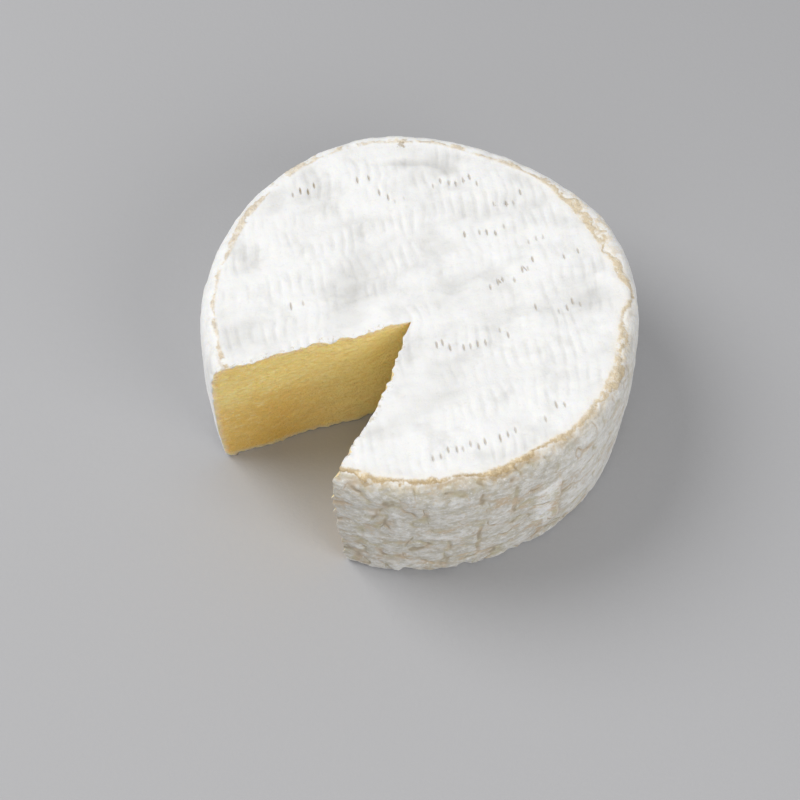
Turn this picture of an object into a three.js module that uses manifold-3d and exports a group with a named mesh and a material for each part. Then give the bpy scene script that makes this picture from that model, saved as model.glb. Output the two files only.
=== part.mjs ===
// A small soft-ripened cheese wheel, white mould rind over a yellow paste, with one wedge cut out of it.
// The wheel ripened as one piece, so it is one solid: a turned body with rounded edges, a little out of
// round and thicker on one side, less the wedge. Millimetres, +Z up, standing on its flat underside.

import * as THREE from "three";
import { mergeVertices } from "three/addons/utils/BufferGeometryUtils.js";
import Module from "manifold-3d";

// ---- Driving dimensions ----

const BELLY_RADIUS = 60; // the wheel at its widest, half way up the side
const HEIGHT = 43.2; // its thickness on the axis

const RIM_RADIUS = 0.905 * BELLY_RADIUS; // where the top face turns over into the shoulder
const SHOULDER_DROP = 0.14 * HEIGHT; // how far down the rounded shoulder reaches
const FOOT_RADIUS = 0.955 * BELLY_RADIUS; // the flat underside it rests on
const FOOT_RISE = 0.07 * HEIGHT; // how far up the rounded foot reaches
const WALL_LEAN = 0.6; // how far the side is inside the belly where it meets shoulder and foot
const TOP_DISH = 0.5; // how far the middle of the top face has sunk below its rim

// The wheel drained unevenly: its top falls away by this much per millimetre towards +X and towards +Y.
const TOP_SLOPE = new THREE.Vector2(-0.023, -0.027);

// It is out of round by a few broad swellings: how many round the wheel, how far each stands out,
// and the direction of one of them in degrees.
const SWELLINGS = [
  { count: 2, out: 0.31, at: -85 },
  { count: 3, out: 0.42, at: 3 },
  { count: 4, out: 0.52, at: 22 },
  { count: 5, out: 0.35, at: 34 },
  { count: 6, out: 0.19, at: 27 },
];

// The wedge: its two cuts leave one point a little off the axis, on the side that the wedge came from.
const CUT_POINT = new THREE.Vector2(-0.04, -0.11).multiplyScalar(BELLY_RADIUS);
const LEFT_CUT = 198; // direction of each cut from that point, in degrees from +X
const RIGHT_CUT = 250;
const CUT_REACH = 1.35 * BELLY_RADIUS; // the wedge runs on past the side, so that the cut goes right through
const CUT_WAVE = { out: 0.35, length: 31 }; // the blade's slow wander along each cut
const CORNER_SAG = 2.6; // how far the right cut's upper outer corner leans out over the gap
const SAG_FROM = 0.5 * BELLY_RADIUS; // the lean starts this far along the cut

const RIND_WHITE = 0xf2f0ea;

// ---- Fineness of the mesh ----

const TURNS = 112; // steps round the wheel
const CURVE_STEPS = 5; // steps along each rounded edge
const TOP_RINGS = 6;
const CUT_STEPS = 26; // steps along each cut
const CUT_LAYERS = 10; // steps up each cut

const UP = HEIGHT * 0.25; // the cutting tool stands out this far above and below

/** A smooth step from 0 to 1 as x goes from low to high. */
const smooth = (x, low, high) => THREE.MathUtils.smoothstep(x, low, high);

/** The outline that is turned: out along the underside, up the side and back over the top to the axis. */
function profile() {
  const footWall = new THREE.Vector2(BELLY_RADIUS - WALL_LEAN, FOOT_RISE);
  const shoulderWall = new THREE.Vector2(BELLY_RADIUS - WALL_LEAN, HEIGHT - SHOULDER_DROP);
  const underside = new THREE.LineCurve(new THREE.Vector2(0, 0), new THREE.Vector2(FOOT_RADIUS, 0));
  const foot = new THREE.QuadraticBezierCurve(
    new THREE.Vector2(FOOT_RADIUS, 0),
    new THREE.Vector2(footWall.x, 0),
    footWall,
  );
  // The control point stands twice as far out as the belly, so the curve touches the belly half way up.
  const wall = new THREE.QuadraticBezierCurve(
    footWall,
    new THREE.Vector2(BELLY_RADIUS + WALL_LEAN, HEIGHT / 2),
    shoulderWall,
  );
  const shoulder = new THREE.QuadraticBezierCurve(
    shoulderWall,
    new THREE.Vector2(shoulderWall.x - 0.8, HEIGHT),
    new THREE.Vector2(RIM_RADIUS, HEIGHT),
  );
  const top = new THREE.LineCurve(new THREE.Vector2(RIM_RADIUS, HEIGHT), new THREE.Vector2(0, HEIGHT));

  const stretches = [
    [underside, 2],
    [foot, CURVE_STEPS],
    [wall, CURVE_STEPS + 1],
    [shoulder, CURVE_STEPS],
    [top, TOP_RINGS],
  ];
  const points = [new THREE.Vector2(0, 0)];
  for (const [curve, steps] of stretches) {
    points.push(...curve.getPoints(steps).slice(1));
  }
  return points;
}

/** How much wider than round the wheel is in direction angle, as a factor. */
function swelling(angle) {
  const out = SWELLINGS.reduce(
    (sum, s) => sum + s.out * Math.cos(s.count * (angle - THREE.MathUtils.degToRad(s.at))),
    0,
  );
  return 1 + out / BELLY_RADIUS;
}

/** Turns the even wheel into a drained and ripened one: out of round, sloping and a little dished on top. */
function settle(geometry) {
  const at = geometry.getAttribute("position");
  for (let i = 0; i < at.count; i++) {
    const [x, y, z] = [at.getX(i), at.getY(i), at.getZ(i)];
    const wider = swelling(Math.atan2(y, x));
    const share = z / HEIGHT;
    const dish = TOP_DISH * smooth(share, 0.9, 1) * (1 - smooth(Math.hypot(x, y), 0, RIM_RADIUS));
    const rise = share * (TOP_SLOPE.x * x + TOP_SLOPE.y * y) - dish;
    at.setXYZ(i, x * wider, y * wider, z + rise);
  }
  return geometry;
}

function wholeWheel() {
  const turned = new THREE.LatheGeometry(profile(), TURNS);
  return settle(turned.rotateX(Math.PI / 2));
}

/** A point on one of the two cuts, a distance along from the wedge's point. */
function onCut(degrees, along) {
  const angle = THREE.MathUtils.degToRad(degrees);
  return CUT_POINT.clone().add(new THREE.Vector2(Math.cos(angle), Math.sin(angle)).multiplyScalar(along));
}

/** The wedge that is taken out, as a prism whose two cuts wander a little and whose right one leans. */
function wedge() {
  const steps = Array.from({ length: CUT_STEPS }, (_, i) => (CUT_REACH * (i + 1)) / CUT_STEPS);
  const outline = new THREE.Shape([
    CUT_POINT.clone(),
    ...steps.map((along) => onCut(LEFT_CUT, along)),
    ...steps.toReversed().map((along) => onCut(RIGHT_CUT, along)),
  ]);
  const depth = HEIGHT + 2 * UP;
  const prism = new THREE.ExtrudeGeometry(outline, { depth, steps: CUT_LAYERS, bevelEnabled: false });
  prism.translate(0, 0, -UP);

  const at = prism.getAttribute("position");
  const middle = THREE.MathUtils.degToRad((LEFT_CUT + RIGHT_CUT) / 2);
  for (let i = 0; i < at.count; i++) {
    const [x, y, z] = [at.getX(i), at.getY(i), at.getZ(i)];
    const along = Math.hypot(x - CUT_POINT.x, y - CUT_POINT.y);
    const side = Math.sign(Math.cos(middle) * (y - CUT_POINT.y) - Math.sin(middle) * (x - CUT_POINT.x));
    const wave = CUT_WAVE.out * Math.sin((2 * Math.PI * along) / CUT_WAVE.length + side) * smooth(along, 0, 12);
    const lean = side > 0 ? CORNER_SAG * smooth(along, SAG_FROM, BELLY_RADIUS) * smooth(z, 0, HEIGHT) : 0;
    // Both moves are square to the cut: the lean closes the gap, on the right cut only.
    const angle = THREE.MathUtils.degToRad(side > 0 ? RIGHT_CUT : LEFT_CUT) - Math.PI / 2;
    const move = wave + lean;
    at.setXY(i, x + Math.cos(angle) * move, y + Math.sin(angle) * move);
  }
  return prism;
}

/** A three.js geometry as a manifold-3d solid. */
function solid(wasm, geometry) {
  const bare = geometry.clone();
  bare.deleteAttribute("normal");
  bare.deleteAttribute("uv");
  const merged = mergeVertices(bare, 1e-3);
  return new wasm.Manifold(
    new wasm.Mesh({
      numProp: 3,
      vertProperties: new Float32Array(merged.getAttribute("position").array),
      triVerts: new Uint32Array(merged.index.array),
    }),
  );
}

/** A manifold-3d solid as a three.js geometry. */
function geometryOf(made) {
  const mesh = made.getMesh();
  const geometry = new THREE.BufferGeometry()
    .setAttribute("position", new THREE.BufferAttribute(mesh.vertProperties, 3))
    .setIndex(new THREE.BufferAttribute(mesh.triVerts, 1));
  geometry.computeVertexNormals();
  return geometry;
}

/** The wheel less its wedge, with the middle of its width and depth over the origin. */
async function cutWheel() {
  const wasm = await Module();
  wasm.setup();
  const geometry = geometryOf(solid(wasm, wholeWheel()).subtract(solid(wasm, wedge())));
  geometry.computeBoundingBox();
  const middle = geometry.boundingBox.getCenter(new THREE.Vector3());
  return geometry.translate(-middle.x, -middle.y, 0);
}

const cheese = new THREE.Group();
const wheel = new THREE.Mesh(
  await cutWheel(),
  new THREE.MeshStandardMaterial({ color: RIND_WHITE, roughness: 0.85, metalness: 0 }),
);
wheel.name = "cheese_wheel";
cheese.add(wheel);

export default cheese;
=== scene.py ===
"""A soft-ripened cheese wheel with a white mould rind and one wedge cut out of it.

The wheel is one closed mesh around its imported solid: a skin of rind, whose relief Geometry Nodes raise, and
two cut faces of paste that fill the skin's open ends.
"""

import math
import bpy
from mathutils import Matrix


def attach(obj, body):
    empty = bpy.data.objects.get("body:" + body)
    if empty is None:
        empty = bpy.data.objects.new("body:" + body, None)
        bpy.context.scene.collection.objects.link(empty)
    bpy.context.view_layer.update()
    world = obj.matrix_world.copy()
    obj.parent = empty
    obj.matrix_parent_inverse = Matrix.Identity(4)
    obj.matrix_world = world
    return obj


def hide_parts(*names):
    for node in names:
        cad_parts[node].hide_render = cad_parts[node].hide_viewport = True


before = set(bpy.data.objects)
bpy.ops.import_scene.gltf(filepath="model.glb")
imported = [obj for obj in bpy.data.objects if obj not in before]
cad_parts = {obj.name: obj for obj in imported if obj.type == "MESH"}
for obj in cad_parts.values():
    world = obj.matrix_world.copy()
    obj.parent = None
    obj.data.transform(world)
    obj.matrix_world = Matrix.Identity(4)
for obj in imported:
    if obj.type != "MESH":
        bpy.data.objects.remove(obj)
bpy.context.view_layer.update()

from types import SimpleNamespace

import bmesh
import bpy
import numpy as np
from bpy.props import FloatProperty, FloatVectorProperty, IntProperty, PointerProperty
from mathutils import Vector

bl_info = {
    "name": "Cheese wheel",
    "version": (1, 0, 0),
    "blender": (4, 5, 0),
    "location": "3D View > Sidebar > Cheese",
    "description": "Makes a soft-ripened cheese wheel with one wedge cut out of it",
    "category": "Object",
}

MM = 0.001
WHEEL = "cheese_wheel"

# ---- Fineness of the mesh ----

COLUMNS = 544  # steps round the wheel from one cut to the other, halved again and again towards their point
RINGS = 84  # steps from the rim to the cuts' point, on top, underneath and along each cut
SIDE_ROWS = 72  # steps up the side, foot and shoulder included
POINT_COLUMNS = 17  # the columns that are left at the cuts' point; COLUMNS is this doubled again and again
CURVE_POINTS = 41  # points worked out along each curve of the side's outline

# ---- The shape that the solid model has, in millimetres ----

BELLY_RADIUS = 60.0
# Swellings of the outline: how many round the wheel, how far each stands out and where, in degrees.
SWELLINGS = ((2, 0.31, -85), (3, 0.42, 3), (4, 0.52, 22), (5, 0.35, 34), (6, 0.19, 27))
TOP_SLOPE = (-0.023, -0.027)
CUT_WAVE, CUT_WAVE_LENGTH = 0.35, 31.0  # the blade's slow wander along each cut
EDGE_PULL = 1.6  # how far in from its edge a cut face goes with the edge's relief
CUT_BOW = 1.0  # how far the right cut's upper edge bows away from the gap half way along
SHARPEST = math.radians(60.0)  # paste edges that turn more than this are kept crisp

# ---- Where the marks and patches are, in millimetres on the plan ----

ROW_PITCH = 10.5  # distance between the mat's cross threads, where each row of ribs ends
ROW_TILT = math.radians(-19.0)  # how far those threads turn from the X axis
MARK_REACH = 0.3  # how much a length along the ribs counts in finding the nearest stitch mark
NO_MARK = 4.0  # the gap to the nearest mark that stands for none near

# Rows of marks where the mat's cross threads pressed through its ribs: from x, y to x, y.
STITCH_ROWS = (
    (4, 39, 16, 41),
    (19, 31.5, 28, 36),
    (10, 22.5, 23, 24.5),
    (30, 21.5, 34, 22),
    (39, 16.5, 43, 18),
    (19, 5, 31, 12.5),
    (31, -1.5, 43, -0.5),
    (4, -15.5, 23, -9.5),
    (3, -47.5, 24, -39.5),
    (32, -35, 37, -33),
    (-35, 35.5, -29, 40),
    (-17, 41, -14, 41.5),
    (-11, 35, -4, 34),
    (-34, -1, -31, -0.5),
)

# Dents in the top: x, y, how far each spreads and how deep it is. The first three run on as one valley.
TOP_DENTS = (
    (-22, 1, 13, 0.34),
    (-13, 8.5, 13, 0.36),
    (2, 15, 13, 0.34),
    (7.3, 47.5, 7, 0.6),
    (-46, 11.5, 10, 0.34),
)

# Long creases up the side, and the one fold: direction in degrees, lowest and highest point.
UPRIGHT_CREASES = ((-66, 25, 41), (-75, 9, 27), (-83, 12, 22), (-89, 30, 38))
FOLD = (-52.8, 8, 34)

# Chips out of the foot: x and y.
CHIPS = ((25.3, -54.5), (28.9, -52.6), (-3.5, -60.0), (12.0, -58.8))

# Patches round the rim, as x, y and reach: where the crust was rubbed bare, where mould has grown out over
# it, where it spreads thinly, the wide crust at the cut's corner, the stretch that mould has nearly closed,
# the one chafed by handling and the one where the crust stayed whole.
RUBBED = (47.0, 26.0, 26.0)
OVERGROWN = (57.5, 3.0, 8.0)
SPREAD = (-36.0, 43.0, 34.0)
CORNER = (-14.0, -53.0, 15.0)
GROWN = (9.5, -54.0, 9.5)
CHAFED = (50.0, -22.0, 20.0)
KEPT = (-55.0, 0.0, 28.0)

# Patches of the top and of its edge: where a hand smeared the ribs, the crease near the back, a low mound,
# the darkest marks, one spot, and the flap of rind that hangs over the left cut.
SMEARS = ((-15.0, -9.0, 17.0), (0.0, -34.0, 26.0))
BACK_CREASE = (-5.0, 48.0, 18.0)
BACK_CREASE_RADIUS = 48.0
MOUND = (-10.0, -4.0, 10.0)
DARK_MARKS = (-31.0, 38.0, 6.0)
SPOT = (-5.0, 54.0, 2.6)
FLAP = (-22.8, -15.6, 4.2)

# ---- The stage, in metres ----

# Each light's name, setting, place and size.
LIGHTS = (
    ("key_softbox", "key_power", (-0.75, 0.30, 0.92), 0.85),
    ("notch_softbox", "notch_power", (-0.16, -0.60, 0.36), 0.4),
    ("fill_softbox", "fill_power", (0.45, -0.45, 0.45), 0.5),
)
LIT_PLACE = (0.0, 0.0, 0.02)
FLOOR_HALF = 20.0
FLOOR_DROP = 0.1 * MM  # a hair below the wheel, so that the two never show through each other


# ---- Sizes and colours that a user would change ----


def length(name, description, millimetres):
    metres = millimetres * MM
    return FloatProperty(
        name=name, description=description, default=metres, min=0.0, subtype="DISTANCE", unit="LENGTH"
    )


def angle(name, description, degrees):
    return FloatProperty(
        name=name, description=description, default=math.radians(degrees), subtype="ANGLE", unit="ROTATION"
    )


def power(name, description, watts):
    return FloatProperty(name=name, description=description, default=watts, min=0.0, unit="POWER")


def colour(name, description, *rgb):
    return FloatVectorProperty(
        name=name, description=description, default=rgb, min=0.0, max=1.0, subtype="COLOR"
    )


def share(name, description, value):
    return FloatProperty(
        name=name, description=description, default=value, min=0.0, max=1.0, subtype="FACTOR"
    )


class WheelShape(bpy.types.PropertyGroup):
    """The smooth shape of the wheel and of its two cuts."""

    belly_radius: length("Belly radius", "The radius at its widest, half way up the side", BELLY_RADIUS)
    height: length("Height", "The wheel's thickness on its axis", 43.2)
    rim_radius: length("Rim radius", "Where the top face turns over into the shoulder", 54.3)
    foot_radius: length("Foot radius", "The flat underside that the wheel rests on", 57.3)
    shoulder_drop: length("Shoulder drop", "How far down the rounded shoulder reaches", 6.05)
    foot_rise: length("Foot rise", "How far up the rounded foot reaches", 3.02)
    wall_lean: length("Wall lean", "How far the side is inside the belly at shoulder and foot", 0.6)
    top_dish: length("Top dish", "How far the middle of the top has sunk", 0.5)
    cut_point: FloatVectorProperty(
        name="Cut point",
        description="Where the two cuts meet",
        size=2,
        default=(-0.0024, -0.0066),
        subtype="XYZ",
        unit="LENGTH",
    )
    left_cut: angle("Left cut", "Direction of the left cut from the cut point", 198.15)
    right_cut: angle("Right cut", "Direction of the right cut from the cut point", 249.94 - 360.0)
    corner_sag: length("Corner sag", "How far the right cut's upper outer corner leans over the gap", 2.4)


class RindRelief(bpy.types.PropertyGroup):
    """How deep the marks in the rind are, and how far apart."""

    rib_pitch: length("Rib pitch", "Distance between the ribs that the draining mat left", 2.9)
    rib_depth: length("Rib depth", "Depth of the grooves between the ribs", 0.22)
    rib_lean: angle("Rib lean", "How far the ribs turn from the wheel's Y axis", 10.0)
    stitch_width: length("Stitch width", "Half the width of a mark across the ribs", 0.30)
    stitch_length: length("Stitch length", "Half the length of a mark along the ribs", 1.05)
    stitch_depth: length("Stitch depth", "Depth of the marks", 0.35)
    billow: length("Billow", "Height of the broad swells of the top", 1.5)
    crust_width: length("Crust width", "Width of the bare crust round the rim", 1.2)
    crust_height: length("Crust height", "How far the crust stands out", 0.4)
    wrinkle_height: length("Wrinkle height", "Height of the wrinkles round the side", 0.62)
    crack_depth: length("Crack depth", "Depth of the cracks round the side", 0.30)
    fray: length("Fray", "How far the rind's torn edge wanders along the cuts", 0.95)
    seed: IntProperty(name="Seed", description="Start of the random draws for the marks", default=7)


class PasteRelief(bpy.types.PropertyGroup):
    """How rough the knife left the paste."""

    drag_depth: length("Drag depth", "Depth of the knife's drag marks", 0.55)
    wave_depth: length("Wave depth", "Depth of the cut's broad waves", 0.8)
    pit_depth: length("Pit depth", "Depth of the small pits", 0.4)


class RindColours(bpy.types.PropertyGroup):
    """The colours of the rind."""

    mould: colour("Mould", "The white mould", 0.90, 0.90, 0.89)
    # Partly painted shade: it greys the rib grooves, the top's dents and swell valleys and the side's wrinkle
    # hollows, as well as thin mould in random clouds and specks.
    thin_mould_and_shade: colour("Thin mould", "The mould where it is thin, in grooves and hollows", 0.62, 0.615, 0.595)
    # Partly painted shade: it darkens the front of the side, which faces away from the light, as well as
    # giving the matted mould its tone.
    dull_mould_and_shade: colour("Dull mould", "The matted mould round the side", 0.455, 0.425, 0.355)
    tan_skin: colour("Tan skin", "The side's worn skin, in its warmer patches", 0.56, 0.44, 0.30)
    olive_skin: colour("Olive skin", "The side's worn skin, in its cooler patches", 0.51, 0.46, 0.31)
    # Partly painted shade: it darkens the bottoms of the side's creases beyond the skin's own colour there.
    crack: colour("Crack", "The skin deep in the side's creases", 0.36, 0.30, 0.22)
    crust: colour("Crust", "The bare crust round the rim", 0.77, 0.62, 0.38)
    # Partly painted shadow: besides the crust's darker mottling, it paints the shadow along the crust's lower
    # edge and in the groove beneath it.
    dark_crust_and_shadow: colour("Dark crust", "The crust in its creases and at its lower edge", 0.46, 0.33, 0.17)
    stitch: colour("Stitch", "The marks on the top", 0.46, 0.38, 0.27)
    roughness: share("Roughness", "Roughness of the mould", 0.88)


class PasteColours(bpy.types.PropertyGroup):
    """The colours of the paste."""

    paste: colour("Paste", "The ripe paste", 0.97, 0.77, 0.30)
    deep_paste: colour("Deep paste", "The paste in its darker patches", 0.88, 0.58, 0.15)
    # Painted shade: the dark flecks of the cut's fine grain.
    paste_hollow_shade: colour("Paste hollow", "The paste in the small hollows of the cut", 0.72, 0.50, 0.15)
    inner_paste: colour("Inner paste", "The firmer paste towards the wheel's middle", 0.97, 0.83, 0.40)
    # Also painted highlight: the pale flecks of the cut's fine grain.
    pale_paste_and_highlight: colour("Pale paste", "The paste along the knife's drag marks", 0.98, 0.86, 0.48)
    under_rind: colour("Under the rind", "The paste just inside the rind", 0.90, 0.74, 0.50)
    cut_rind: colour("Cut rind", "The rind where the knife went through it", 0.93, 0.83, 0.70)
    torn_rind: colour("Torn rind", "Flecks of rind that the knife dragged into the paste", 0.55, 0.41, 0.29)
    roughness: share("Roughness", "Roughness of the paste", 0.46)


class Studio(bpy.types.PropertyGroup):
    """The floor, lights and camera."""

    floor: colour("Floor", "The plain floor", 0.42, 0.42, 0.43)
    key_power: power("Key light", "Power of the large light", 9.6)
    fill_power: power("Fill light", "Power of the light that fills the shadows", 2.1)
    notch_power: power("Notch light", "Power of the small light that reaches into the notch", 0.5)
    sky: FloatProperty(name="Sky", description="Strength of the even light from all round", default=0.38)
    lens: FloatProperty(name="Lens", description="Focal length in millimetres", default=75.2)
    elevation: angle("Elevation", "How far the camera looks down", 59.56)
    distance: length("Distance", "From the camera to what it looks at", 480.0)
    aim: FloatVectorProperty(
        name="Aim",
        description="What the camera looks at",
        default=(-0.00545, -0.00548, 0.0),
        subtype="XYZ",
        unit="LENGTH",
    )


def in_millimetres(group):
    """A group's settings by the names that the nodes know them by, with lengths in millimetres."""
    values = {}
    for key in group.__annotations__:
        setting, value = group.bl_rna.properties[key], getattr(group, key)
        values[setting.name] = value / MM if setting.unit == "LENGTH" else value
    return values


# ---- Nodes written as sums ----


class Field:
    """A value that varies over a surface: arithmetic on it adds the nodes that work it out."""

    def __init__(self, graph, socket):
        self.graph, self.socket = graph, socket

    def __add__(self, other):
        return self.graph.maths("ADD", self, other)

    def __radd__(self, other):
        return self.graph.maths("ADD", other, self)

    def __sub__(self, other):
        return self.graph.maths("SUBTRACT", self, other)

    def __rsub__(self, other):
        return self.graph.maths("SUBTRACT", other, self)

    def __mul__(self, other):
        return self.graph.maths("MULTIPLY", self, other)

    def __rmul__(self, other):
        return self.graph.maths("MULTIPLY", other, self)

    def __truediv__(self, other):
        return self.graph.maths("DIVIDE", self, other)

    def __abs__(self):
        return self.graph.maths("ABSOLUTE", self)


class Graph:
    """Adds nodes to a geometry or a shader tree. Patterns are worked out in millimetres."""

    def __init__(self, tree):
        self.tree = tree

    def add(self, kind, inputs=(), out=0, **settings):
        """Adds a node; inputs are given in the order of its sockets, or by their names."""
        node = self.tree.nodes.new(kind)
        for name, value in settings.items():
            setattr(node, name, value)
        live = [s for s in node.inputs if s.enabled]
        by_name = {s.name: s for s in reversed(live)}
        pairs = inputs.items() if isinstance(inputs, dict) else enumerate(inputs)
        for key, value in pairs:
            socket = by_name[key] if isinstance(key, str) else live[key]
            if isinstance(value, Field):
                self.tree.links.new(value.socket, socket)
            else:
                socket.default_value = value
        outs = [s for s in node.outputs if s.enabled]
        return Field(self, outs[out]) if outs else node

    def maths(self, operation, *values):
        return self.add("ShaderNodeMath", values, operation=operation)

    def vector(self, operation, *values):
        return self.add("ShaderNodeVectorMath", values, operation=operation)

    def scaled(self, vector, factor):
        return self.add("ShaderNodeVectorMath", {"Vector": vector, "Scale": factor}, operation="SCALE")

    def part(self, vector, axis):
        return self.add("ShaderNodeSeparateXYZ", (vector,), out="XYZ".index(axis))

    def step(self, value, low, high):
        """0 below low, 1 above high and smooth between; the other way round if high is the lower."""
        return self.add(
            "ShaderNodeMapRange",
            {"Value": value, "From Min": low, "From Max": high},
            interpolation_type="SMOOTHSTEP",
        )

    def most(self, one, other):
        return self.maths("MAXIMUM", one, other)

    def least(self, one, other):
        return self.maths("MINIMUM", one, other)

    def pattern_space(self, at, size, shift):
        """The place at, where features about size across become 1 across; size may differ by axis."""
        sizes = size if isinstance(size, tuple) else (size, size, size)
        return self.vector("MULTIPLY_ADD", at, tuple(1.0 / s for s in sizes), shift)

    def noise(self, at, size, detail=2.0, roughness=0.5, seed=0.0):
        """Clouds from 0 to 1, about size across."""
        where = self.pattern_space(at, size, (seed, seed * 1.7, -seed))
        return self.add(
            "ShaderNodeTexNoise", {"Vector": where, "Scale": 1.0, "Detail": detail, "Roughness": roughness}
        )

    def swing(self, at, size, **more):
        """Clouds from about -1 to 1."""
        return self.noise(at, size, **more) * 2.0 - 1.0

    def cells(self, at, size, seed):
        """How far a place is from the nearest of scattered points, 0 on the point."""
        where = self.pattern_space(at, size, (seed, -seed, seed * 0.6))
        return self.add("ShaderNodeTexVoronoi", {"Vector": where, "Scale": 1.0}, feature="F1")

    def warped(self, at, size, by, seed=0.0):
        """The position at, moved up to about by in clouds of the given size."""
        where = self.pattern_space(at, size, (seed, seed, seed))
        clouds = self.add("ShaderNodeTexNoise", {"Vector": where, "Scale": 1.0, "Detail": 1.0}, out=1)
        return self.vector("MULTIPLY_ADD", clouds, (2.0 * by,) * 3, self.vector("SUBTRACT", at, (by, by, by)))

    def turned(self, at, angle, axis="Z"):
        """The place at, turned about one axis."""
        kind = f"{axis}_AXIS"
        return self.add("ShaderNodeVectorRotate", {"Vector": at, "Angle": angle}, rotation_type=kind)

    def on_plan(self, at):
        return self.vector("MULTIPLY", at, (1.0, 1.0, 0.0))

    def near(self, at, x, y, reach):
        """1 at a place on the plan, falling to 0 at reach from it."""
        return self.step(self.vector("DISTANCE", self.on_plan(at), (x, y, 0.0)), reach, 0.0)

    def blend(self, factor, one, other):
        """Colour one where the factor is 0, the other where it is 1."""
        one, other = (c if isinstance(c, Field) else (*c, 1.0) for c in (one, other))
        return self.add(
            "ShaderNodeMix", {"Factor": factor, "A": one, "B": other}, data_type="RGBA", clamp_factor=True
        )

    def coats(self, ground, *layers):
        """The ground colour under layers, each given as how much of it shows, from 0 to 1, and its colour."""
        for cover, over in layers:
            ground = self.blend(cover, ground, over)
        return ground


# ---- Patterns that the relief and the colours share ----


def rim_patterns(g, rest, rim, crust_width):
    """How far outside the edge of the top's mould a place is, how much crust shows there and how near it is
    to its lower edge and to the groove under it, where a painted shadow runs, how worn the rim is, and how
    far mould has grown back over the crust.
    """
    rubbed = g.near(rest, *RUBBED)
    overgrown = g.near(rest, *OVERGROWN)
    front = g.step(g.part(rest, "Y"), -8.0, -38.0)
    right = g.step(g.part(rest, "X"), 20.0, 48.0)
    worn = g.most(front, right)
    spread = g.near(rest, *SPREAD)
    corner = g.near(rest, *CORNER)
    chafed = g.near(rest, *CHAFED)
    grown = g.near(rest, *GROWN)
    kept = g.near(rest, *KEPT)
    line = (
        rim
        + g.swing(rest, 16.0, seed=3.1) * 1.5
        + g.swing(rest, 4.6, seed=8.4, detail=4.0, roughness=0.65) * (0.9 + 0.7 * worn)
        + rubbed * 2.8
        - overgrown * 3.2
        - spread * 0.9
    )
    uneven = g.noise(rest, 7.0, seed=5.5, detail=3.0, roughness=0.6)
    width = 0.85 + 0.35 * worn + 1.9 * rubbed + 1.5 * spread + 0.8 * corner + 1.6 * chafed - 0.85 * grown
    width = crust_width * width * g.most(uneven * 4.4 - 1.3, 0.12)
    lower = line - width + g.swing(rest, 2.0, seed=1.3, detail=4.0, roughness=0.7) * 1.1
    whole = 0.12 * worn + 0.10 * kept - 0.06 * spread - 0.22 * grown
    gaps = g.step(g.noise(rest, 5.0, seed=4.4, detail=3.0) + whole, 0.40, 0.48)
    frayed = lower + g.swing(rest, 1.0, detail=3.0, seed=1.9) * 0.5
    crust = g.step(line, -0.45, 0.45) * g.step(frayed, 0.60, -0.35) * gaps
    lip = g.step(lower, -1.3, -0.1) * crust * worn
    flaking = g.most(g.most(rubbed, front * 0.3), chafed * 0.9)
    stray = flaking * g.step(line, 1.0, 2.2) * g.step(line, 4.5 + 4.5 * rubbed, 2.5 + 3.5 * rubbed)
    flakes = g.noise(rest, (3.2, 3.2, 2.2), detail=4.0, roughness=0.68, seed=6.6)
    stray = stray * g.step(flakes + 0.06 * rubbed, 0.49, 0.61) * 0.75
    # The groove under the front crust: relief, and where a painted shadow is laid.
    groove_and_shadow = g.step(abs(lower - 0.7), 0.9, 0.1) * front * g.step(uneven, 0.40, 0.55)
    return line, g.most(crust, stray), g.most(lip, groove_and_shadow), worn, grown


def upright_line(g, rest, degrees, low, high, bend, taper=3.0):
    """How far round the side a place is from a line up it in this direction, and 1 between two heights."""
    facing = math.radians(degrees)
    across = g.vector("DOT_PRODUCT", rest, (-math.sin(facing), math.cos(facing), 0.0)) + bend
    outward = g.vector("DOT_PRODUCT", rest, (math.cos(facing), math.sin(facing), 0.0))
    height = g.part(rest, "Z")
    within = g.step(height, low, low + taper) * g.step(height, high, high - taper)
    return across, within * g.step(outward, 20.0, 30.0)


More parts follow.
